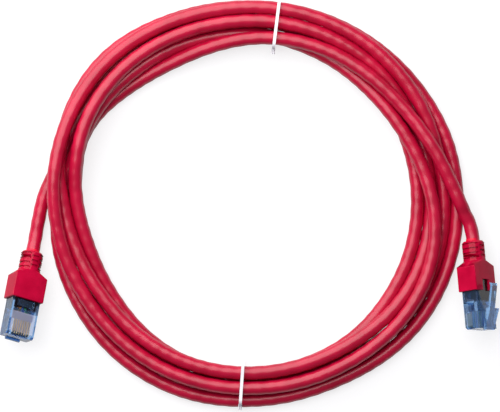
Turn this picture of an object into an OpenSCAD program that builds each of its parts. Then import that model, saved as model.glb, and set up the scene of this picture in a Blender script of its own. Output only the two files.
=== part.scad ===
// Booted patch cable with two eight-way modular plugs, wound into a flat ring
// of loose loops and held by two twist ties. Millimetres, +Z up: the ring lies
// on Z = 0 and the origin is under the middle of the whole object.
// Each plug is drawn along its own axis: X forward to the nose, Y across, Z up
// to the contacts, with X = 0 at the rear end of the boot's collar.

/* [Cable] */
// Diameter of the round jacket
cable_d = 5.35; // [4.8:0.05:5.6]
// Diameter of one insulated conductor
wire_d = 0.94; // [0.8:0.01:0.98]
// Length of jacket that shows behind each boot before the free tail begins
jacket_stub = 1; // [0.5:0.5:3]

/* [Ring] */
// Radius of the outermost loop's centre line, averaged round the ring
ring_r = 81.2; // [78:0.1:90]
// Loops between the two free tails
loops = 5.5; // [3.5:1:7.5]
// Clear gap between neighbouring loops
loop_gap = 0.45; // [0.42:0.01:0.6]
// How much further the loops stand apart on the untied right side
loop_fan = 0.6; // [0:0.1:0.8]
// Half the difference between the ring's width and its depth
ring_oval = 1; // [-2:0.1:2]
// How far the ring's outer loop bulges to the left
ring_bulge = 0.8; // [0:0.1:3]
// Middle of the ring, to the right of the origin
ring_x = 1.6; // [-5:0.1:5]
// Middle of the ring, behind the origin
ring_y = -0.2; // [-5:0.1:5]

/* [Plug housing] */
// Width of the housing across the contacts
body_w = 11.68; // [11.5:0.01:11.9]
// Height of the housing without its latch
body_h = 6.6; // [6.4:0.05:7]
// Length of the housing
body_l = 21.46; // [20.5:0.01:23]
// Length of the rear bay that takes the jacket
jacket_bay_l = 10.9; // [10:0.1:12]
// Width of the rear bay and of the wire bay
bay_w = 9; // [8.6:0.1:9.6]
// Height of the wire bay ahead of the jacket
wire_bay_h = 3; // [2.6:0.1:3.6]
// Length of the sloped lead-in on the nose's contact side
nose_slope = 0.9; // [0.4:0.1:1.4]
// Clear gap between pieces that are pushed together
fit_gap = 0.05; // [0.03:0.01:0.08]

/* [Contacts] */
// Number of contacts and conductors
contact_count = 8; // [4:2:8]
// Spacing of the contacts
contact_pitch = 1.02; // [1:0.01:1.04]
// Thickness of one contact blade
contact_t = 0.35; // [0.3:0.01:0.4]
// Length of one contact blade along the plug
contact_l = 5.6; // [5:0.1:6]
// Height of one contact blade above the conductor that it pierces
contact_h = 2.1; // [1.8:0.1:2.2]
// Depth to which the blade's teeth pierce the conductor
pierce = 0.5; // [0.3:0.05:0.6]
// Distance from the nose to the blade's front edge
contact_setback = 0.9; // [0.7:0.1:1.2]

/* [Latch] */
// Width of the latch from its root to its catches
latch_w = 6; // [5.6:0.1:6.2]
// Width of the finger lever behind the catches
lever_w = 3.3; // [3:0.1:4]
// Distance from the root's pivot to the catches
catch_x = 8.2; // [7:0.1:9]
// Distance from the root's pivot to the lever's free end
latch_l = 18; // [16:0.5:18.5]
// Thickness of the latch arm
latch_t = 1; // [0.8:0.1:1.2]
// Radius of the rounded root that the latch bends about
root_r = 0.6; // [0.5:0.05:0.8]
// Angle between the relaxed latch and the housing
latch_rest = 13.5; // [11:0.5:15]
// Angle by which a finger can press the latch
latch_press = 10.5; // [4:0.5:10.5]

/* [Boot] */
// Width of the boot's block
boot_w = 13.5; // [12.9:0.1:15]
// Height of the boot's block
boot_h = 8.9; // [8.6:0.1:11]
// Length of the boot's block
boot_l = 11.9; // [10:0.1:13]
// Length of the housing that the block covers
boot_grip = 6.3; // [5:0.1:6.6]
// Length of the tapered shoulder behind the block
shoulder_l = 2.2; // [1:0.1:3]
// Outer diameter of the ribbed collar
collar_d = 8.9; // [8.4:0.1:9.4]
// Length of the ribbed collar
collar_l = 8.1; // [7:0.1:11]
// Number of long slots along each side of the collar
slot_count = 4; // [2:1:5]
// Width of one slot
slot_w = 0.8; // [0.4:0.05:1]
// Depth of one slot
slot_depth = 0.6; // [0.4:0.1:1]
// Length of the short slots over and under the collar
short_slot = 3; // [2:0.1:4]
// Solid width between the ends of the long slots and the short ones
slot_bridge = 0.4; // [0.2:0.1:1]
// Distance from the collar's ends to the middle of the nearest long slots
slot_from = 1.2; // [1:0.1:1.5]
// Room for the lever on each side of the block's notch
notch_gap = 0.6; // [0.4:0.1:1]
// Depth of the notch behind the block's front edge
notch_l = 4.4; // [4:0.1:5.5]

/* [Strain relief and load bar] */
// Length of the wedge that holds the jacket
wedge_l = 2.5; // [2:0.1:3]
// Width of the wedge
wedge_w = 7.4; // [6:0.1:8]
// Depth by which the wedge dents the jacket
wedge_bite = 0.9; // [0.5:0.1:1.3]
// Length of the window that the wedge is pressed through
window_l = 3.9; // [3.6:0.1:4]
// Length of the load bar that spaces the conductors
load_bar_l = 2.4; // [2:0.1:2.8]

/* [Left plug] */
// How far the left boot's rear end stands out from the ring's outermost loop
left_out = 4.9; // [4:0.1:8]
// Rear end of the left boot, behind the origin
left_y = -18.6; // [-22:0.1:-14]
// Height of the left boot's axis at its rear end
left_z = 4.2; // [4.2:0.1:8]
// Heading of the left plug, anticlockwise from +X
left_heading = -100; // [-110:1:-90]
// Angle by which the left plug's nose is raised
left_pitch = 16; // [16:1:24]
// Roll of the left plug about its own axis
left_roll = -25; // [-28:0.5:-18]

/* [Right plug] */
// How far the right boot's rear end stands out from the ring's outermost loop
right_out = 5.3; // [3:0.1:7]
// Rear end of the right boot, behind the origin
right_y = -14.1; // [-18:0.1:-11]
// Height of the right boot's axis at its rear end
right_z = 6.6; // [6.6:0.1:9]
// Heading of the right plug, anticlockwise from +X
right_heading = -85; // [-90:1:-78]
// Angle by which the right plug's nose is raised
right_pitch = 8; // [6:1:12]
// Roll of the right plug about its own axis
right_roll = 128; // [125:1:135]

/* [Twist ties] */
// Width of a tie
tie_w = 1.2; // [0.8:0.1:2]
// Thickness of a tie
tie_t = 0.45; // [0.3:0.05:0.6]
// Clear gap between a tie and the loops that it holds
tie_gap = 0.3; // [0.2:0.05:0.4]
// Length of the twisted ends
tie_end = 2; // [1.5:0.5:6]
// Bearing of the first tie, clockwise from the ring's far side
tie_top_at = 7; // [2:1:12]
// Bearing of the second tie, clockwise from the ring's far side
tie_bottom_at = 184; // [178:1:190]

/* [Hidden] */
$fn = 48;
WIRE_NAMES = ["white_green", "green", "white_orange", "blue",
    "white_blue", "orange", "white_brown", "brown"];
WIRE_COLOURS = ["honeydew", "green", "bisque", "royalblue",
    "lightsteelblue", "darkorange", "tan", "saddlebrown"];
PLUG_PIECES = concat(
    ["housing", "latch", "boot", "jacket_end", "load_bar", "wedge"],
    [for (i = [0 : contact_count - 1]) str("wire_", WIRE_NAMES[i])],
    [for (i = [1 : contact_count]) str("contact_", i)]);

// Along the plug: the boot's rear end is at 0
front_x = collar_l + boot_l;
back_x = front_x - boot_grip;
nose_x = back_x + body_l;
contact_front = nose_x - contact_setback;
contact_back = contact_front - contact_l;
bay_end = back_x + jacket_bay_l;
jacket_bay_h = cable_d + 2 * fit_gap;
WINDOW_GAP = 0.3;
window_x = front_x + WINDOW_GAP;
wedge_x = window_x + 2 * fit_gap;
jacket_end_x = wedge_x + wedge_l + 2 * fit_gap;

// The wedge's top slopes down from just under the housing's face
WEDGE_SINK = 0.2;
WEDGE_FALL = 0.9;

// The conductors lie in one row under the contacts
CONTACT_RECESS = 0.5;
wire_gap = fit_gap / 2;
row_z = body_h / 2 - CONTACT_RECESS - contact_h - fit_gap - wire_d / 2;
channel_d = wire_d + 2 * wire_gap;
LOAD_BAR_GAP = 0.6;
load_bar_x = contact_back - LOAD_BAR_GAP - load_bar_l;
wire_bay_end = load_bar_x + load_bar_l + 2 * fit_gap;
wire_front = contact_front - 2 * fit_gap;

blade_slot_w = contact_t + 2 * fit_gap;

// They leave the jacket in two staggered rows
core_pitch = 0.52;
core_step = 1.1;
core_z = -0.4;

// The latch's root turns in a saddle under the nose
SADDLE_BACK = 0.35;
SADDLE_FRONT = 0.5;
ROOT_AHEAD = 0.1;
ROOT_DROP = 0.15;
SADDLE_SINK = 0.1;
pivot_x = nose_x + ROOT_AHEAD;
pivot_z = -body_h / 2 - root_r - ROOT_DROP;
saddle_top = -body_h / 2 + SADDLE_SINK;

// The latch's catches stand lower than its arm, and its lever ends in a lip
CATCH_L = 0.8;
CATCH_DROP = 0.5;
LIP_L = 1;
LIP_H = 0.6;
ARM_SET = 0.1;
arm_top = root_r - ARM_SET;

// The collar has a tapered rear edge, and its short slots lie between the long ones
COLLAR_TAPER_L = 0.7;
COLLAR_TAPER = 0.6;
SHOULDER_LAP = 0.2;
slot_step = (collar_l - 2 * slot_from) / (slot_count - 1);

// The ring: two layers of loops, wound inwards on the floor and out again above
RINGS_PER_LOOP = 24;
lane = cable_d + loop_gap;
floor_z = 0.4 * cable_d;
upper_z = floor_z + lane;
turn_at = loops / 2;
TIE_ROOM = 0.45;
tie_lift = tie_t + TIE_ROOM;
LIFT_SPAN = 35;
TWIST = 3;
TAIL_STEPS = 2;

// How far a cut runs past the face that it opens
OVER = 1;

// The free tails between the coil and the boots
LEFT_POINTS = [[-81.6, 4.5, 2.2], [-83.7, -4, 2.3]];
RIGHT_POINTS = [[81.6, 5, 9.7], [84.2, -1, 7.5]];

function unit(v) = v / norm(v);
function smooth(t) = t * t * (3 - 2 * t);
function clamp(t) = min(1, max(0, t));

// Bearing of a point of the winding, clockwise from the far side, where u
// counts loops from the left tail
function bearing(u) = 270 + 360 * u;
function from_bearing(a, b) = abs((a - b + 540) % 360 - 180);

// Radius of the outermost lane, and distance between lanes, at a bearing
function outer_r(a) = ring_r - ring_bulge * sin(a) - ring_oval * cos(2 * a);
function lane_step(a) = lane + loop_fan * pow(max(0, sin(a)), 2);

// Lanes inwards from the outermost one, and height, after u loops
function lane_of(u) = min(u, loops - u);
function lift(a) = tie_lift * max(0, 1 - from_bearing(a, tie_top_at) / LIFT_SPAN,
    1 - from_bearing(a, tie_bottom_at) / LIFT_SPAN);
function height_of(u) = floor_z + lift(bearing(u))
    + lane * smooth(clamp(2 * (u - turn_at) + 0.5));
function ring_point(r, a, z) = [ring_x + r * sin(a), ring_y + r * cos(a), z];
function coil_point(u) = ring_point(
    outer_r(bearing(u)) - lane_of(u) * lane_step(bearing(u)), bearing(u), height_of(u));

// The coil's ends run straight for one diameter to meet the tails
function coil_end(u, back) = coil_point(u) + cable_d * unit(coil_point(u) - coil_point(back));
first_u = 1 / RINGS_PER_LOOP;
last_u = loops - first_u;
NEAR_U = 0.01;
coil_in = coil_end(first_u, first_u + NEAR_U);
coil_out = coil_end(last_u, last_u - NEAR_U);
coil_path = concat([coil_in],
    [for (i = [1 : loops * RINGS_PER_LOOP - 1]) coil_point(i / RINGS_PER_LOOP)],
    [coil_out]);

// Least clear distance between points of the coil half a loop or more apart
function least_gap(p) = min([for (i = [0 : len(p) - 1])
    for (j = [i + RINGS_PER_LOOP / 2 : 1 : len(p) - 1]) norm(p[i] - p[j])]) - cable_d;
echo(coil_least_gap = least_gap(coil_path));

// Catmull-Rom points between p[1] and p[2], n to a span
function spline_at(p0, p1, p2, p3, t) = 0.5 * (2 * p1 + (p2 - p0) * t
    + (2 * p0 - 5 * p1 + 4 * p2 - p3) * t * t + (3 * p1 - p0 - 3 * p2 + p3) * t * t * t);
function spline(p, n) = concat(
    [for (i = [1 : len(p) - 3], k = [0 : n - 1])
        spline_at(p[i - 1], p[i], p[i + 1], p[i + 2], k / n)],
    [p[len(p) - 2]]);

function direction(p, i) = unit(p[min(i + 1, len(p) - 1)] - p[max(i - 1, 0)]);

// A tube swept along p, flat underneath, cut off at the floor
module tube(p, d, sides) {
    turn = sides == 6 ? 0 : 180 / sides;
    rings = [for (i = [0 : len(p) - 1])
        let (t = direction(p, i), side = unit(cross(t, [0, 0, 1])), up = cross(side, t))
        for (k = [0 : sides - 1])
            let (v = p[i] + d / 2 * (cos(turn + k * 360 / sides) * side
                + sin(turn + k * 360 / sides) * up))
            [v.x, v.y, max(v.z, 0)]];
    last = (len(p) - 1) * sides;
    walls = [for (i = [0 : len(p) - 2], k = [0 : sides - 1])
        let (a = i * sides + k, b = i * sides + (k + 1) % sides)
        each [[a, b, b + sides], [a, b + sides, a + sides]]];
    caps = [for (k = [1 : sides - 2])
        each [[0, k + 1, k], [last, last + k, last + k + 1]]];
    polyhedron(rings, concat(walls, caps));
}

// Where a plug stands, and a point of its own frame in the frame of the part
left_x = ring_x - outer_r(270) - left_out;
right_x = ring_x + outer_r(90) + right_out;
function plug_pose(side) = side == "left"
    ? [[left_x, left_y, left_z], left_roll, left_pitch, left_heading]
    : [[right_x, right_y, right_z], right_roll, right_pitch, right_heading];
function rolled(v, a) = [v.x, v.y * cos(a) - v.z * sin(a), v.y * sin(a) + v.z * cos(a)];
function pitched(v, a) = [v.x * cos(a) - v.z * sin(a), v.y, v.x * sin(a) + v.z * cos(a)];
function headed(v, a) = [v.x * cos(a) - v.y * sin(a), v.x * sin(a) + v.y * cos(a), v.z];
function turned(side, v) = headed(pitched(rolled(v, plug_pose(side)[1]),
    plug_pose(side)[2]), plug_pose(side)[3]);
function placed(side, v) = plug_pose(side)[0] + turned(side, v);

module place(side) {
    pose = plug_pose(side);
    translate(pose[0]) rotate([0, 0, pose[3]]) rotate([0, -pose[2], 0])
        rotate([pose[1], 0, 0]) children();
}

for (side = ["left", "right"])
    echo(side, pivot = placed(side, [pivot_x, 0, pivot_z]), axis = turned(side, [0, 1, 0]),
        nose = placed(side, [nose_x, 0, -body_h / 4]), forward = turned(side, [1, 0, 0]));
echo(rest_point = coil_point(0.5), coil_in = coil_in, coil_out = coil_out);

module along_x(x, l, d) {
    translate([x, 0, 0]) rotate([0, 90, 0]) cylinder(h = l, d = d);
}

module block(x, l, w, h, z = 0) {
    translate([x, -w / 2, z - h / 2]) cube([l, w, h]);
}

// A profile of X and Z, extruded across the plug
module across(w) {
    translate([0, w / 2, 0]) rotate([90, 0, 0]) linear_extrude(w) children();
}

// ---- Cable

module cable_coil() {
    color("crimson") tube(coil_path, cable_d, 6);
}

// A free tail runs straight for one diameter where it meets the coil and the boot
module cable_tail(side) {
    left = side == "left";
    start = left ? coil_in : coil_out;
    straight = unit(start - coil_point(left ? first_u : last_u));
    end = placed(side, [-jacket_stub, 0, 0]);
    inner = concat([start, start + cable_d * straight], left ? LEFT_POINTS : RIGHT_POINTS,
        [end - cable_d * turned(side, [1, 0, 0]), end]);
    color("crimson") tube(concat([start], spline(inner, TAIL_STEPS), [end]), cable_d, 8);
}

// The end of the jacket inside the boot and the housing, dented by the wedge
module jacket_end() {
    color("crimson") difference() {
        along_x(-jacket_stub, jacket_end_x + jacket_stub, cable_d);
        block(wedge_x - fit_gap, jacket_end_x, wedge_w, cable_d,
            cable_d - wedge_bite);
    }
}

// ---- Plug

module housing_shell() {
    across(body_w) polygon([
        [back_x, -body_h / 2], [nose_x, -body_h / 2],
        [nose_x, body_h / 2 - nose_slope], [nose_x - nose_slope, body_h / 2],
        [back_x, body_h / 2]]);
}

// The saddle under the nose that the latch's root turns in
module latch_saddle() {
    difference() {
        block(pivot_x - SADDLE_BACK, SADDLE_BACK + SADDLE_FRONT, latch_w, root_r,
            saddle_top - root_r / 2);
        translate([pivot_x, 0, pivot_z]) rotate([90, 0, 0])
            cylinder(h = latch_w + 2, r = root_r + fit_gap, center = true);
    }
}

module housing() {
    color("lightblue", 0.5) {
        difference() {
            housing_shell();
            block(back_x - OVER, jacket_bay_l + OVER, bay_w, jacket_bay_h);
            block(bay_end - OVER, wire_bay_end - bay_end + OVER, bay_w, wire_bay_h, row_z);
            block(window_x, window_l, wedge_w + 2 * fit_gap, body_h, body_h / 2);
            for (i = [0 : contact_count - 1]) {
                translate([0, wire_y(i), row_z])
                    along_x(wire_bay_end - OVER, contact_front - wire_bay_end + OVER, channel_d);
                translate([contact_back - 2 * fit_gap, wire_y(i) - blade_slot_w / 2, row_z])
                    cube([nose_x, blade_slot_w, body_h]);
            }
        }
        latch_saddle();
    }
}

function wire_y(i) = ((contact_count - 1) / 2 - i) * contact_pitch;

module latch() {
    color("lightblue", 0.5) translate([pivot_x, 0, pivot_z]) rotate([0, -latch_rest, 0]) {
        rotate([90, 0, 0]) cylinder(h = latch_w, r = root_r, center = true);
        across(latch_w) polygon([
            [0, -root_r], [0, arm_top], [-catch_x, arm_top],
            [-catch_x, -latch_t - CATCH_DROP], [-catch_x + CATCH_L, -latch_t - CATCH_DROP],
            [-catch_x / 4, -root_r]]);
        across(lever_w) polygon([
            [-OVER, arm_top], [-latch_l + LIP_L, arm_top], [-latch_l, arm_top + LIP_H],
            [-latch_l, root_r - latch_t], [-latch_l + LIP_L, arm_top - latch_t],
            [-OVER, arm_top - latch_t]]);
    }
}

// The block, whose shoulder runs into the round collar
module boot_block() {
    hull() {
        along_x(collar_l - SHOULDER_LAP, SHOULDER_LAP, collar_d);
        block(collar_l + shoulder_l, front_x - collar_l - shoulder_l, boot_w, boot_h);
    }
}

// The space of a slot all round the collar
module slot_ring() {
    difference() {
        along_x(-slot_w / 2, slot_w, collar_d + OVER);
        along_x(-slot_w, 2 * slot_w, collar_d - 2 * slot_depth);
    }
}

module collar_slots() {
    for (i = [0 : slot_count - 1])
        translate([slot_from + slot_step * i, 0, 0]) difference() {
            slot_ring();
            block(-slot_w, 2 * slot_w, short_slot + 2 * slot_bridge, collar_d + 2 * OVER);
        }
    for (i = [0 : slot_count - 2])
        translate([slot_from + slot_step * (i + 0.5), 0, 0]) intersection() {
            slot_ring();
            block(-slot_w, 2 * slot_w, short_slot, collar_d + 2 * OVER);
        }
}

module boot() {
    color("crimson") difference() {
        union() {
            boot_block();
            along_x(COLLAR_TAPER_L, collar_l, collar_d);
            rotate([0, 90, 0])
                cylinder(h = COLLAR_TAPER_L, d1 = collar_d - 2 * COLLAR_TAPER, d2 = collar_d);
        }
        along_x(-OVER, front_x, cable_d + 2 * fit_gap);
        block(back_x - fit_gap, body_l, body_w + 2 * fit_gap, body_h + 2 * fit_gap);
        block(front_x - notch_l, body_l, lever_w + 2 * notch_gap, boot_h, -boot_h / 2);
        collar_slots();
    }
}

module wedge() {
    color("lightblue", 0.5) across(wedge_w - 2 * fit_gap) polygon([
        [wedge_x, cable_d / 2 - wedge_bite], [wedge_x + wedge_l, cable_d / 2 - wedge_bite],
        [wedge_x + wedge_l, body_h / 2 - WEDGE_FALL], [wedge_x, body_h / 2 - WEDGE_SINK]]);
}

module load_bar() {
    color("white", 0.6) difference() {
        block(load_bar_x, load_bar_l, bay_w - 2 * fit_gap, wire_bay_h - 2 * fit_gap, row_z);
        for (i = [0 : contact_count - 1])
            translate([0, wire_y(i), row_z])
                along_x(load_bar_x - OVER, load_bar_l + 2 * OVER, channel_d);
    }
}

// A conductor comes out of the jacket beside its partner and joins the row
function wire_path(i) = let (
        core = [jacket_end_x, wire_y(i) * core_pitch / contact_pitch,
            (i % 2 - 0.5) * core_step + core_z],
        row = [load_bar_x - fit_gap, wire_y(i), row_z],
        straight = [(row.x - core.x) / 4, 0, 0])
    [core, core + straight, (core + row) / 2 + straight / 2, row, [wire_front, row.y, row.z]];

module wire(i) {
    color(WIRE_COLOURS[i]) tube_free(wire_path(i), wire_d, 10);
}

// A thin tube that the floor doesn't cut, with plain rings across X
module tube_free(p, d, sides) {
    rings = [for (q = p, k = [0 : sides - 1])
        q + d / 2 * [0, cos(k * 360 / sides), sin(k * 360 / sides)]];
    last = (len(p) - 1) * sides;
    walls = [for (i = [0 : len(p) - 2], k = [0 : sides - 1])
        let (a = i * sides + k, b = i * sides + (k + 1) % sides)
        each [[a, b + sides, b], [a, a + sides, b + sides]]];
    caps = [for (k = [1 : sides - 2])
        each [[0, k, k + 1], [last, last + k + 1, last + k]]];
    polyhedron(rings, concat(walls, caps));
}

// A contact blade stands on its conductor and bites it with two teeth
module contact(i) {
    blade_foot = row_z + wire_d / 2 + fit_gap;
    tooth = contact_l / 5;
    color("gold") translate([0, wire_y(i), 0]) across(contact_t) polygon([
        [contact_back, blade_foot], [contact_back, blade_foot + contact_h],
        [contact_front, blade_foot + contact_h], [contact_front, blade_foot],
        [contact_front - tooth, blade_foot], [contact_front - 1.5 * tooth, blade_foot - pierce],
        [contact_front - 2 * tooth, blade_foot], [contact_back + 2 * tooth, blade_foot],
        [contact_back + 1.5 * tooth, blade_foot - pierce], [contact_back + tooth, blade_foot]]);
}

// ---- Ties

// Nearest and furthest lane that a tie holds, at its bearing
function held_lanes(a) = [for (u = [(a + 90) % 360 / 360 : 1 : loops]) lane_of(u)];

// Radius of a lane at a bearing, on the straight stretch between two rings
ring_angle = 360 / RINGS_PER_LOOP;
function held_r(a, held) = (outer_r(a) - held * lane_step(a))
    * cos(ring_angle / 2) / cos(a % ring_angle - ring_angle / 2);

// The twisted ends stick out into the ring, or away from it
module tie(a, ends_in) {
    r_out = held_r(a, min(held_lanes(a))) + cable_d / 2 + tie_gap;
    r_in = held_r(a, max(held_lanes(a))) - cable_d / 2 - tie_gap;
    top = upper_z + tie_lift + cable_d / 2 + tie_gap;
    corner = cable_d / 3;
    color("white") translate([ring_x, ring_y, 0]) rotate([0, 0, 90 - a]) {
        across(tie_w) difference() {
            rounded([r_in - tie_t, 0], [r_out + tie_t, top + tie_t], corner + tie_t);
            rounded([r_in, tie_t], [r_out, top], corner);
        }
        for (s = [-1, 1])
            translate([ends_in ? r_in - tie_t - tie_end : r_out + tie_t / 2,
                s * tie_w / 3, top / 2]) rotate([s * TWIST, 90, 0])
                cylinder(h = tie_end + tie_t / 2, d = 2 * tie_w / 3);
    }
}

// A rectangle with round corners, from its low corner to its high one
module rounded(low, high, r) {
    hull() for (x = [low.x + r, high.x - r], y = [low.y + r, high.y - r])
        translate([x, y]) circle(r, $fn = 32);
}

cable_coil();
cable_tail("left");  // cable_tail_left
cable_tail("right");  // cable_tail_right
tie(tie_top_at, true);  // tie_top
tie(tie_bottom_at, false);  // tie_bottom
for (side = ["left", "right"]) {
    place(side) housing();
    place(side) latch();
    place(side) boot();
    place(side) jacket_end();
    place(side) load_bar();
    place(side) wedge();
    for (i = [0 : contact_count - 1]) {
        place(side) wire(i);
        place(side) contact(i);
    }
}
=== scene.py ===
"""A red network patch cable, wound into a ring of loose loops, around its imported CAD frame."""
import math

import bpy
import numpy as np
from mathutils import Matrix, Vector


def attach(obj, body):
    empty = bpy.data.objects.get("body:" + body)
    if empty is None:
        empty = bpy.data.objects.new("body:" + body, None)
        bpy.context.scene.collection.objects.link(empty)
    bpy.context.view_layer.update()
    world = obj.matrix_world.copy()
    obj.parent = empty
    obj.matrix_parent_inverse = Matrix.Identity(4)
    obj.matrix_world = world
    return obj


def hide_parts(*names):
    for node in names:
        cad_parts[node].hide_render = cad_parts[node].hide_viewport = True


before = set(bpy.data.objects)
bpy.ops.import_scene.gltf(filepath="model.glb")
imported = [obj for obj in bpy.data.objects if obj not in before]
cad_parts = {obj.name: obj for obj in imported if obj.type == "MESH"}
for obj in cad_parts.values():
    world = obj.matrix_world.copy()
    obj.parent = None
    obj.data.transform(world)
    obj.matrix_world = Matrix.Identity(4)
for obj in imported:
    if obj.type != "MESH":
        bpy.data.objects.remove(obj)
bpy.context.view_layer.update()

MM = 0.001
PIXEL = 0.396 * MM          # real size of one pixel of the picture, on the subject
FRAME_WIDTH = 500           # pixels
SIDES = "left", "right"

# ---- Camera: straight down on the ring, from far enough to look almost flat
CAMERA_HEIGHT = 1.6
SUBJECT_HEIGHT = 0.008
CAMERA_REACH = 10           # how far it sees
SENSOR = 36.0               # width in millimetres


def add_camera():
    """A lens that makes one pixel of the picture PIXEL wide on the subject."""
    data = bpy.data.cameras.new("camera")
    data.sensor_fit = "HORIZONTAL"
    data.sensor_width = SENSOR
    data.lens = SENSOR * (CAMERA_HEIGHT - SUBJECT_HEIGHT) / (FRAME_WIDTH * PIXEL)
    data.clip_end = CAMERA_REACH
    camera = bpy.data.objects.new("camera", data)
    camera.location = (0, 0, CAMERA_HEIGHT)
    bpy.context.scene.collection.objects.link(camera)
    bpy.context.scene.camera = camera


add_camera()

# ---- The cable's route
CABLE_D = 5.35 * MM
RING_MIDDLE = Vector((2.0, 0.4, 0)) * MM

# Bearing in degrees clockwise from the far side, radius in pixels of the frame and layer of
# the cable as it is laid, loop by loop, from the left tail to the right one
LAY = [
    (279, 203.3, 0), (290, 198, 0), (300, 196, 0), (320, 192, 0), (340, 188, 0), (0, 184, 0),
    (30, 177.5, 0), (50, 170.3, 0), (65, 165, 0), (90, 162.8, 0), (120, 162.3, 0),
    (140, 165.3, 0), (160, 166.3, 0), (180, 169, 0), (200, 172.6, 0), (220, 171, 0),
    (240, 168.3, .2), (255, 172, .6), (270, 177.5, 1), (280, 182.8, 1.6), (290, 187.5, 2.2),
    (300, 189.5, 2.1), (320, 189.7, 1.4), (340, 186, 1.1), (0, 184, 1.1), (10, 185, 1.1),
    (30, 183.5, .9), (50, 181, .5), (60, 178.5, .2), (75, 177.2, .1), (90, 175.4, .4),
    (105, 175.4, .4), (118, 175.6, .5), (130, 172.6, .8), (140, 168.6, 1.1), (160, 166.3, 1.1),
    (180, 167.7, 1.1), (210, 172.5, 1.1), (240, 177.5, 1.1), (260, 185.3, 1.1), (270, 191, 1.3),
    (280, 198, 1.6), (290, 203.8, 1.2), (300, 208.3, .6), (310, 210.8, .2), (320, 209.6, 0),
    (330, 204.3, 0), (345, 198.7, 0), (0, 197.2, 0), (30, 197.8, 0), (60, 199.7, 0),
    (90, 201.3, 0), (110, 202.3, 0), (130, 200.4, 0), (140, 197.2, 0), (150, 193.8, 0),
    (160, 192.3, 0), (184, 195.3, 0), (200, 200, 0), (225, 202.7, 0), (250, 201.5, 0),
    (258, 201.3, 0), (264, 200.8, 0), (270, 197, 0), (275, 192.5, .3), (280, 187.5, .8),
    (286, 185, 1), (293, 185, 1.1), (300, 186, 1.1), (320, 178.3, .8), (335, 176.2, .3),
    (345, 175, 0), (355, 173, 0), (5, 170, 0), (15, 166, .1), (30, 163.8, .4), (50, 162.6, .9),
    (65, 165, 1.1), (75, 170, 1.1), (90, 178, 1.1), (100, 183, 1.2), (110, 186.3, 1.4),
    (120, 187.3, 1.4), (135, 185.3, 1.2), (150, 182.7, 1.1), (180, 182.8, 1.1), (210, 188, 1.1),
    (240, 192.5, 1.1), (255, 196.4, 1.4), (270, 200.8, 2.1), (280, 203, 2.6), (290, 205.6, 2.4),
    (300, 206, 1.8), (315, 206.5, 1.3), (330, 202.7, 1.1), (345, 199, 1.1), (0, 197.6, 1.1),
    (30, 196.5, 1.1), (60, 193.5, .9), (80, 190.4, .5), (95, 190, .4), (110, 189.8, .4),
    (120, 189, .2), (128, 188.4, 0), (134, 186, 0), (140, 182.3, 0), (150, 179.2, 0),
    (180, 180.9, 0), (200, 184.9, 0), (220, 185.5, 0), (240, 183, 0), (250, 181.5, 0),
    (262, 179.5, 0), (272, 180.5, 0), (280, 185.5, 0), (290, 188.5, 0), (300, 184, 0),
    (310, 174, 0), (320, 168.3, 0), (330, 164.8, 0), (340, 164, .2), (350, 165, .8),
    (0, 167.6, 1.1), (10, 168.5, 1.1), (30, 171, 1.2), (50, 174, 1.4), (60, 178, 1.4),
    (70, 184.5, 1.5), (80, 193.7, 1.4),
]

# The free tails between the ring and the boots, from the ring outwards
LEFT_TAIL = [(-81.6 * MM, 4.5 * MM, 2.2 * MM), (-83.7 * MM, -4 * MM, 2.3 * MM)]
RIGHT_TAIL = [(81.6 * MM, 5 * MM, 9.7 * MM), (84.2 * MM, -1 * MM, 7.5 * MM)]
TAIL_STRAIGHT = 4 * MM      # straight stretch on either side of the jacket's rear end

LAY_STEP = math.radians(4)  # bearing between two points of the laid loops
LAY_EASING = 6              # rounds of evening that turn the table into soft curves
LAYER_RISE = 0.88 * CABLE_D  # a strand nests a little between the two that it lies on
STIFF = 0.5                 # how strongly neighbours along the cable keep together
ROUTE_SAMPLES = 16          # to a span between laid points
PATH_STEP = 5 * MM          # spacing of the points that are settled
REAR_SLICE = 0.2 * MM       # depth of the jacket end's slice that shows where its rear face is


def catmull_rom(points, samples):
    """A smooth line through points, with that many samples to a span, ends included."""
    p = np.vstack([2 * points[0] - points[1], points, 2 * points[-1] - points[-2]])
    t = np.linspace(0, 1, samples, endpoint=False)[:, None]
    spans = [
        0.5 * (2 * p[i] + (p[i + 1] - p[i - 1]) * t
               + (2 * p[i - 1] - 5 * p[i] + 4 * p[i + 1] - p[i + 2]) * t ** 2
               + (3 * p[i] - p[i - 1] - 3 * p[i + 1] + p[i + 2]) * t ** 3)
        for i in range(1, len(p) - 2)
    ]
    return np.vstack(spans + [points[-1:]])


def even_steps(points, step):
    """The same line with its points that far apart."""
    run = np.concatenate([[0], np.cumsum(np.linalg.norm(np.diff(points, axis=0), axis=1))])
    at = np.linspace(0, run[-1], int(round(run[-1] / step)) + 1)
    return np.column_stack([np.interp(at, run, points[:, k]) for k in range(3)])


def evened(values):
    """Each value moved towards the mean of its neighbours."""
    out = values.copy()
    out[1:-1] += STIFF * (0.5 * (values[:-2] + values[2:]) - values[1:-1])
    return out


def corners_of(name):
    return np.array([v.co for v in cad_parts[name].data.vertices])


def plug_axis(side):
    """Rear end and direction of a plug, from the piece of jacket that its boot holds."""
    co = corners_of(side + "_jacket_end")
    centre = co.mean(axis=0)
    along = np.linalg.svd(co - centre)[2][0]
    if along[1] > 0:
        along = -along
    reach = (co - centre) @ along
    rear = co[reach < reach.min() + REAR_SLICE].mean(axis=0)
    return rear, along


def true_radius(seen, layer):
    """Real radius of a strand in that layer which the camera sees that many pixels out."""
    height = CABLE_D / 2 + layer * LAYER_RISE
    return seen * PIXEL * (CAMERA_HEIGHT - height) / (CAMERA_HEIGHT - SUBJECT_HEIGHT)


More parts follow.
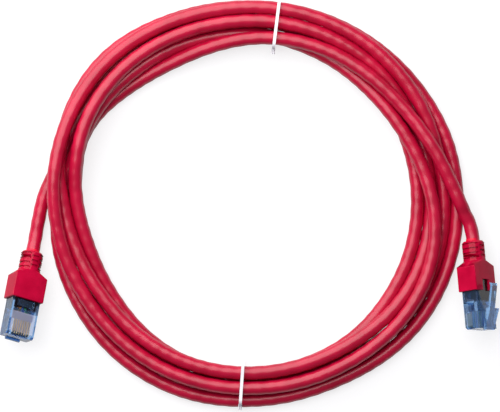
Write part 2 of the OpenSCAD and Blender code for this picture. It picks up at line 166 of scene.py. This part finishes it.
def laid_route():
    """The cable as it is laid: left plug, left tail, loops, right tail, right plug."""
    turn = np.unwrap(np.radians([bearing for bearing, _, _ in LAY]))
    at = np.linspace(turn[0], turn[-1], int((turn[-1] - turn[0]) / LAY_STEP) + 1)
    radius = np.interp(at, turn, [true_radius(seen, n) for _, seen, n in LAY])
    layer = np.interp(at, turn, [n for _, _, n in LAY])
    for _ in range(LAY_EASING):
        radius, layer = evened(radius), evened(layer)
    ring = list(np.column_stack([RING_MIDDLE.x + radius * np.sin(at),
                                 RING_MIDDLE.y + radius * np.cos(at),
                                 CABLE_D / 2 + layer * LAYER_RISE]))
    ends = []
    for side, tail in zip(SIDES, (LEFT_TAIL, RIGHT_TAIL)):
        rear, along = plug_axis(side)
        free = [np.array(p) for p in reversed(tail)]
        ends.append([rear + TAIL_STRAIGHT * along, rear, rear - TAIL_STRAIGHT * along] + free)
    points = np.array(ends[0] + ring + ends[1][::-1])
    return even_steps(catmull_rom(points, ROUTE_SAMPLES), PATH_STEP)


# ---- Settling: the strands are pressed apart to one diameter and down to the floor
SETTLE_ROUNDS = 500
PAIRS_EVERY = 10            # rounds between two searches for touching stretches
SKIP_ALONG = 7              # points so near along the cable never touch
REACH = 2.2 * CABLE_D       # points farther apart are left out of the search
TINY = 1e-9                 # keeps a gap of nothing from being divided by
PRESS = 0.5                 # share of an overlap that one round clears
PULL = 0.15                 # share of the way back to the plan in one round
FALL = 0.02 * MM            # drop in one round
HELD_ENDS = 5               # points that the boots hold


def near_pairs(p):
    """Pairs of a point and a stretch of cable, far apart along it, that may touch."""
    gap = np.linalg.norm(p[:, None, :] - p[None, :-1, :], axis=2)
    i, j = np.nonzero(gap < REACH)
    apart = np.abs(i - j) > SKIP_ALONG
    return i[apart], j[apart]


def contact_push(p, i, j):
    """How far each point is pushed by the stretches that it lies in."""
    start, run = p[j], p[j + 1] - p[j]
    t = np.clip(np.sum((p[i] - start) * run, axis=1) / np.sum(run * run, axis=1), 0, 1)
    away = p[i] - start - t[:, None] * run
    gap = np.linalg.norm(away, axis=1)
    depth = np.maximum(0, CABLE_D - gap)[:, None]
    shove = PRESS * depth * away / np.maximum(gap, TINY)[:, None]
    push = np.zeros_like(p)
    np.add.at(push, i, shove / 2)
    np.add.at(push, j, -shove * (1 - t)[:, None] / 2)
    np.add.at(push, j + 1, -shove * t[:, None] / 2)
    return push


def settled(plan):
    """The laid cable after it has sunk under its own weight, no lower than the floor."""
    p = plan.copy()
    for count in range(SETTLE_ROUNDS):
        if count % PAIRS_EVERY == 0:
            i, j = near_pairs(p)
        p[:, 2] -= FALL
        p += contact_push(p, i, j)
        p[:, :2] = plan[:, :2] + (1 - PULL) * evened(p[:, :2] - plan[:, :2])
        p[:, 2] = evened(p[:, 2])
        p[:HELD_ENDS] = plan[:HELD_ENDS]
        p[-HELD_ENDS:] = plan[-HELD_ENDS:]
        p[:, 2] = np.maximum(p[:, 2], CABLE_D / 2)
    return p


# ---- The jacket: a tube with the low bumps of the twisted pairs inside
PATH_SAMPLES = 6                            # to a span between settled points
TUBE_STEP = 1.1 * MM
TUBE_SIDES = 24
CABLING_LAY = 75 * MM                       # one turn of the four pairs about each other
PAIR_LAYS = [m * MM for m in (9.6, 10.8, 12.2, 13.6)]   # one turn of each pair's two wires
BUMP = 0.07 * MM


def jacket_tube(path):
    """A tube of rings along path, with its radius raised over each pair's wires."""
    along = np.gradient(path, axis=0)
    along /= np.linalg.norm(along, axis=1)[:, None]
    side = np.cross(along, (0, 0, 1))
    side /= np.linalg.norm(side, axis=1)[:, None]
    up = np.cross(side, along)
    run = np.concatenate([[0], np.cumsum(np.linalg.norm(np.diff(path, axis=0), axis=1))])
    angle = np.linspace(0, 2 * math.pi, TUBE_SIDES, endpoint=False)
    radius = np.full((len(path), TUBE_SIDES), CABLE_D / 2)
    for k, lay in enumerate(PAIR_LAYS):
        pair_at = 2 * math.pi * (k / len(PAIR_LAYS) + run / CABLING_LAY)
        near = np.maximum(0, np.cos(angle[None, :] - pair_at[:, None])) ** 2
        radius += BUMP * near * np.cos(4 * math.pi * run / lay + k)[:, None]
    rings = (path[:, None, :]
             + (radius * np.cos(angle))[:, :, None] * side[:, None, :]
             + (radius * np.sin(angle))[:, :, None] * up[:, None, :])
    corners = rings.reshape(-1, 3)
    last = len(corners) - TUBE_SIDES
    faces = []
    for ring in range(0, last, TUBE_SIDES):
        for k in range(TUBE_SIDES):
            n = (k + 1) % TUBE_SIDES
            faces.append((ring + k, ring + n, ring + TUBE_SIDES + n, ring + TUBE_SIDES + k))
    faces.append(tuple(range(TUBE_SIDES))[::-1])
    faces.append(tuple(range(last, last + TUBE_SIDES)))
    return corners, faces


def new_object(name, corners, faces):
    mesh = bpy.data.meshes.new(name)
    mesh.from_pydata([tuple(c) for c in corners], [], faces)
    mesh.update()
    mesh.shade_smooth()
    piece = bpy.data.objects.new(name, mesh)
    bpy.context.scene.collection.objects.link(piece)
    return piece


def build_cable():
    route = settled(laid_route())
    path = even_steps(catmull_rom(route, PATH_SAMPLES), TUBE_STEP)
    cable = new_object("cable", *jacket_tube(path))
    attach(cable, "cable")
    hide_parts("cable_coil", "cable_tail_left", "cable_tail_right")
    return cable


# ---- Materials: sizes are in metres, because an object's own coordinates are the frame's
NOISE_LOW, NOISE_HIGH = 0.3, 0.7            # nearly all of a noise lies between these
PATCH_DETAIL = 2.0
GRAIN_DETAIL = 3.0


def node(tree, kind, **settings):
    made = tree.nodes.new(kind)
    for name, value in settings.items():
        setattr(made, name, value)
    return made


def maths(tree, operation, first, second):
    """A Math node on a socket and on a second socket or a number."""
    made = node(tree, "ShaderNodeMath", operation=operation)
    tree.links.new(first, made.inputs[0])
    if isinstance(second, float):
        made.inputs[1].default_value = second
    else:
        tree.links.new(second, made.inputs[1])
    return made.outputs["Value"]


def noise(tree, size, detail=PATCH_DETAIL):
    """Noise whose features are about that size, in metres."""
    place = node(tree, "ShaderNodeTexCoord")
    made = node(tree, "ShaderNodeTexNoise")
    made.inputs["Scale"].default_value = 1 / size
    made.inputs["Detail"].default_value = detail
    tree.links.new(place.outputs["Object"], made.inputs["Vector"])
    return made.outputs["Fac"]


def ramp(tree, fac, *stops):
    """A colour ramp through (place, colour) stops."""
    made = node(tree, "ShaderNodeValToRGB")
    bar = made.color_ramp.elements
    while len(bar) < len(stops):
        bar.new(0.5)        # moved to its own place below
    for stop, (place, colour) in zip(bar, stops):
        stop.position = place
        stop.color = (*colour, 1)
    tree.links.new(fac, made.inputs["Fac"])
    return made.outputs["Color"]


def spread(tree, fac, low, high):
    """Noise turned into a value from low to high."""
    made = node(tree, "ShaderNodeMapRange")
    made.inputs["From Min"].default_value = NOISE_LOW
    made.inputs["From Max"].default_value = NOISE_HIGH
    made.inputs["To Min"].default_value = low
    made.inputs["To Max"].default_value = high
    tree.links.new(fac, made.inputs["Value"])
    return made.outputs["Result"]


def bump(tree, height, distance):
    made = node(tree, "ShaderNodeBump")
    made.inputs["Distance"].default_value = distance
    made.inputs["Strength"].default_value = 1.0
    tree.links.new(height, made.inputs["Height"])
    return made.outputs["Normal"]


def moulded(name, dark, light, patch, rough, grain, depth, **sockets):
    """Two close shades in patches, uneven gloss and a fine grain; sockets are the shader's."""
    made = bpy.data.materials.new(name)
    made.use_nodes = True
    tree = made.node_tree
    shader = tree.nodes["Principled BSDF"]
    for socket, value in sockets.items():
        shader.inputs[socket.replace("_", " ")].default_value = value
    shade = ramp(tree, noise(tree, patch), (NOISE_LOW, dark), (NOISE_HIGH, light))
    tree.links.new(shade, shader.inputs["Base Color"])
    tree.links.new(spread(tree, noise(tree, patch / 3), *rough), shader.inputs["Roughness"])
    tree.links.new(bump(tree, noise(tree, grain, GRAIN_DETAIL), depth), shader.inputs["Normal"])
    return made


def dress(piece, made):
    piece.data.materials.clear()
    piece.data.materials.append(made)


JACKET = moulded("jacket", (0.42, 0.001, 0.026), (0.55, 0.003, 0.040), patch=9 * MM,
                 rough=(0.26, 0.36), grain=0.6 * MM, depth=0.012 * MM, Specular_IOR_Level=0.0,
                 Coat_Weight=0.65, Coat_IOR=1.7, Coat_Roughness=0.30)
BOOT = moulded("boot", (0.40, 0.001, 0.026), (0.52, 0.003, 0.038), patch=6 * MM,
               rough=(0.20, 0.28), grain=0.35 * MM, depth=0.004 * MM, Specular_IOR_Level=0.0,
               Coat_Weight=0.3, Coat_Roughness=0.12)
CLEAR_THROUGH = 0.94         # the rest is a milky haze


def clear_plastic(name):
    return moulded(name, (0.18, 0.36, 0.63), (0.30, 0.49, 0.78), patch=5 * MM,
                   rough=(0.01, 0.04), grain=2.5 * MM, depth=0.004 * MM,
                   Transmission_Weight=CLEAR_THROUGH, IOR=1.5)


CLEAR = clear_plastic("clear_plastic")
CONTACT = moulded("contact", (0.92, 0.66, 0.28), (1.0, 0.84, 0.50), patch=1.2 * MM,
                  rough=(0.32, 0.46), grain=0.1 * MM, depth=0.003 * MM, Metallic=0.55)
TIE = moulded("tie", (0.80, 0.80, 0.82), (0.93, 0.93, 0.94), patch=4 * MM,
              rough=(0.40, 0.55), grain=0.3 * MM, depth=0.02 * MM)

# Painted shade: the jacket end is painted dark where the boot and the housing shade it, and so
# is the housing's bay around it, but for its outer walls.
JACKET_SHADE = (0.012, 0.001, 0.002, 1)
BAY_SHADE = (0.02, 0.02, 0.035, 1)
SHADE_FROM = 9 * MM         # along the plug from the jacket's rear end
SHADE_TO = 13 * MM
BAY_TO = 25 * MM
BAY_HALF = 4.9 * MM
# Painted light: the plastic between the wires and contacts is painted lighter, standing in for
# light glowing through the comb's fins.
COMB_PAINTED_LIGHT = (0.80, 0.80, 0.93, 1)  # painted light; the plastic here is also hazier
COMB_ROUGH = 0.28
COMB_THROUGH = 0.80
COMB_FROM = 26.5 * MM
COMB_TO = 34.6 * MM
COMB_HALF = 5 * MM
COMB_FOOT = 0.4 * MM        # over the plug's axis
COMB_TOP = 6 * MM
ZONE_EDGE = 0.2 * MM


def along_axis(tree, origin, axis, *stops):
    """A grey value along an axis from a point: (distance, value) stops, straight between."""
    place = node(tree, "ShaderNodeTexCoord")
    dot = node(tree, "ShaderNodeVectorMath", operation="DOT_PRODUCT")
    dot.inputs[1].default_value = tuple(axis)
    first, last = stops[0][0], stops[-1][0]
    shift = float(np.dot(origin, axis))
    span = node(tree, "ShaderNodeMapRange")
    span.inputs["From Min"].default_value = first + shift
    span.inputs["From Max"].default_value = last + shift
    tree.links.new(place.outputs["Object"], dot.inputs[0])
    tree.links.new(dot.outputs["Value"], span.inputs["Value"])
    return ramp(tree, span.outputs["Result"],
                *[((d - first) / (last - first), (v, v, v)) for d, v in stops])


def zoned(made, socket, value, *masks):
    """Gives a shader's socket that value wherever every mask is white."""
    tree = made.node_tree
    target = tree.nodes["Principled BSDF"].inputs[socket]
    mask = masks[0]
    for other in masks[1:]:
        mask = maths(tree, "MULTIPLY", mask, other)
    mix = node(tree, "ShaderNodeMix", data_type="RGBA" if socket == "Base Color" else "FLOAT")
    ends = [end for end in mix.inputs if end.enabled and end.name in ("A", "B")]
    ends[1].default_value = value
    if target.links:
        tree.links.new(target.links[0].from_socket, ends[0])
    else:
        ends[0].default_value = target.default_value
    tree.links.new(mask, [end for end in mix.inputs if end.enabled and end.name == "Factor"][0])
    tree.links.new([end for end in mix.outputs if end.enabled][0], target)


def middle(name):
    co = corners_of(name)
    return (co.min(axis=0) + co.max(axis=0)) / 2


def shaded_jacket(side):
    """The jacket's red, brighter outside the plug and painted dark inside it as shade."""
    rear, along = plug_axis(side)
    made = moulded("jacket_in_" + side, (0.66, 0.003, 0.030), (0.82, 0.006, 0.044),
                   patch=9 * MM, rough=(0.35, 0.45), grain=0.6 * MM, depth=0.012 * MM,
                   Specular_IOR_Level=0.3)
    # Painted shade: near-black from SHADE_FROM along the plug onwards.
    zoned(made, "Base Color", JACKET_SHADE, along_axis(
        made.node_tree, rear, along, (SHADE_FROM, 0.0), (SHADE_TO, 1.0)))
    return made


def housing_plastic(side):
    """Clear plastic with a painted-shade bay behind and a hazy, painted-light zone between the
    wires and contacts.
    """
    rear, along = plug_axis(side)
    across = middle(side + "_contact_8") - middle(side + "_contact_1")
    across /= np.linalg.norm(across)
    top = np.cross(across, along)
    top *= np.sign((middle(side + "_contact_4") - rear) @ top)
    made = clear_plastic("housing_" + side)
    tree = made.node_tree

    def band(axis, start, stop):
        return along_axis(tree, rear, axis, (start - ZONE_EDGE, 0.0), (start, 1.0), (stop, 1.0),
                          (stop + ZONE_EDGE, 0.0))

    bay = band(along, SHADE_TO, BAY_TO), band(across, -BAY_HALF, BAY_HALF)
    comb = (band(along, COMB_FROM, COMB_TO), band(across, -COMB_HALF, COMB_HALF),
            band(top, COMB_FOOT, COMB_TOP))
    # Painted shade: the bay is painted dark.
    zoned(made, "Base Color", BAY_SHADE, *bay)
    # Painted light: the comb is painted lighter; its roughness and haze are the plastic's own.
    zoned(made, "Base Color", COMB_PAINTED_LIGHT, *comb)
    zoned(made, "Roughness", COMB_ROUGH, *comb)
    zoned(made, "Transmission Weight", COMB_THROUGH, *comb)
    return made


WIRE_COLOURS = {
    "white_green": (0.75, 0.86, 0.77), "green": (0.04, 0.40, 0.14),
    "white_orange": (0.93, 0.82, 0.68), "blue": (0.05, 0.17, 0.60),
    "white_blue": (0.72, 0.80, 0.93), "orange": (0.90, 0.36, 0.05),
    "white_brown": (0.83, 0.74, 0.66), "brown": (0.30, 0.14, 0.06),
}
WIRE_DARKER = 0.78


def wire_material(colour):
    light = WIRE_COLOURS[colour]
    dark = tuple(WIRE_DARKER * c for c in light)
    return moulded("wire_" + colour, dark, light, patch=2 * MM, rough=(0.30, 0.42),
                   grain=0.2 * MM, depth=0.006 * MM)


WIRES = {colour: wire_material(colour) for colour in WIRE_COLOURS}

# ---- Dressing: the cable, then each node by its name
dress(build_cable(), JACKET)
for name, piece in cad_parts.items():
    if "_wire_" in name:
        dress(piece, WIRES[name.split("_wire_")[1]])
    elif "_contact_" in name:
        dress(piece, CONTACT)
    elif name.endswith("_housing"):
        dress(piece, housing_plastic(name.split("_")[0]))
    elif name.endswith(("_latch", "_load_bar", "_wedge")):
        dress(piece, CLEAR)
    elif name.endswith("_boot"):
        dress(piece, BOOT)
    elif name.endswith("_jacket_end"):
        dress(piece, shaded_jacket(name.split("_")[0]))
    elif name.startswith("tie_"):
        dress(piece, TIE)

# ---- Boots: the moulding's edges are rounded
BOOT_ROUND = 0.35 * MM
BOOT_ROUND_STEPS = 3
BLOCK_CORNER = 7.5 * MM     # the block's corners are farther than this from the plug's axis
WELD_WITHIN = 0.001 * MM
FLAT_ANGLE = math.radians(1)
EDGE_ANGLE = math.radians(28)


def rounded(side):
    """Joins a boot's faces, gathers the coplanar ones and rounds the block's edges."""
    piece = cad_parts[side + "_boot"]
    rear, along = plug_axis(side)
    piece.data.shade_smooth()
    if "custom_normal" in piece.data.attributes:
        piece.data.attributes.remove(piece.data.attributes["custom_normal"])
    co = np.array([v.co for v in piece.data.vertices]) - rear
    off_axis = np.linalg.norm(co - np.outer(co @ along, along), axis=1)
    corners = piece.vertex_groups.new(name="corners")
    corners.add(np.nonzero(off_axis > BLOCK_CORNER)[0].tolist(), 1.0, "REPLACE")
    piece.modifiers.new("weld", "WELD").merge_threshold = WELD_WITHIN
    flat = piece.modifiers.new("flat", "DECIMATE")
    flat.decimate_type = "DISSOLVE"
    flat.angle_limit = FLAT_ANGLE
    bevel = piece.modifiers.new("bevel", "BEVEL")
    bevel.width = BOOT_ROUND
    bevel.segments = BOOT_ROUND_STEPS
    bevel.limit_method = "VGROUP"
    bevel.vertex_group = corners.name
    piece.modifiers.new("split", "EDGE_SPLIT").split_angle = EDGE_ANGLE
    piece.modifiers.new("normals", "WEIGHTED_NORMAL").keep_sharp = True


for side in SIDES:
    rounded(side)

# ---- Floor, light and world
FLOOR_SIZE = 40.0
FLOOR_SHADE = (0.30, 0.30, 0.30)            # the white that lamps give and shadows can take
FLOOR_GLOW = 0.74                           # the rest, for the camera, glass and gloss alone
FLOOR_ROUGH = 0.9
KEY_TOP = Vector((0, -0.02, 0.85))          # middle of the softbox's upper edge
KEY_FOOT = Vector((-0.45, 0.72, 0.05))      # and of its lower edge, at the far left
KEY_WIDTH = 0.88
KEY_POWER = 10.7
WORLD_FILL = 0.18
WORLD_TINT = (0.80, 0.72, 1.0)


def add_floor():
    """A white table that keeps the object's shadow."""
    half = FLOOR_SIZE / 2
    floor = new_object("floor", [(-half, -half, 0), (half, -half, 0), (half, half, 0),
                                 (-half, half, 0)], [(0, 1, 2, 3)])
    made = bpy.data.materials.new("floor")
    made.use_nodes = True
    tree = made.node_tree
    shader = tree.nodes["Principled BSDF"]
    shader.inputs["Base Color"].default_value = (*FLOOR_SHADE, 1)
    shader.inputs["Roughness"].default_value = FLOOR_ROUGH
    shader.inputs["Specular IOR Level"].default_value = 0.0
    shader.inputs["Emission Color"].default_value = (1, 1, 1, 1)
    rays = node(tree, "ShaderNodeLightPath").outputs
    seen = maths(tree, "MAXIMUM", rays["Is Camera Ray"], rays["Is Transmission Ray"])
    seen = maths(tree, "MAXIMUM", seen, rays["Is Glossy Ray"])
    tree.links.new(maths(tree, "MULTIPLY", seen, FLOOR_GLOW), shader.inputs["Emission Strength"])
    dress(floor, made)


def add_key():
    """A large softbox that leans from above the ring down to the table on its far left."""
    data = bpy.data.lights.new("key", "AREA")
    data.shape = "RECTANGLE"
    fall = KEY_FOOT - KEY_TOP
    data.size = KEY_WIDTH
    data.size_y = fall.length
    data.energy = KEY_POWER
    light = bpy.data.objects.new("key", data)
    across = Vector((fall.y, -fall.x, 0)).normalized()
    down = fall.normalized()
    back = across.cross(down)
    light.matrix_world = Matrix((across, down, back)).transposed().to_4x4()
    light.location = (KEY_TOP + KEY_FOOT) / 2
    bpy.context.scene.collection.objects.link(light)


def add_world():
    """A faint violet fill that colours the shaded sides."""
    world = bpy.data.worlds.new("world")
    world.use_nodes = True
    background = world.node_tree.nodes["Background"]
    background.inputs["Color"].default_value = (*WORLD_TINT, 1)
    background.inputs["Strength"].default_value = WORLD_FILL
    bpy.context.scene.world = world


add_floor()
add_key()
add_world()
bpy.context.scene.view_settings.view_transform = "Standard"
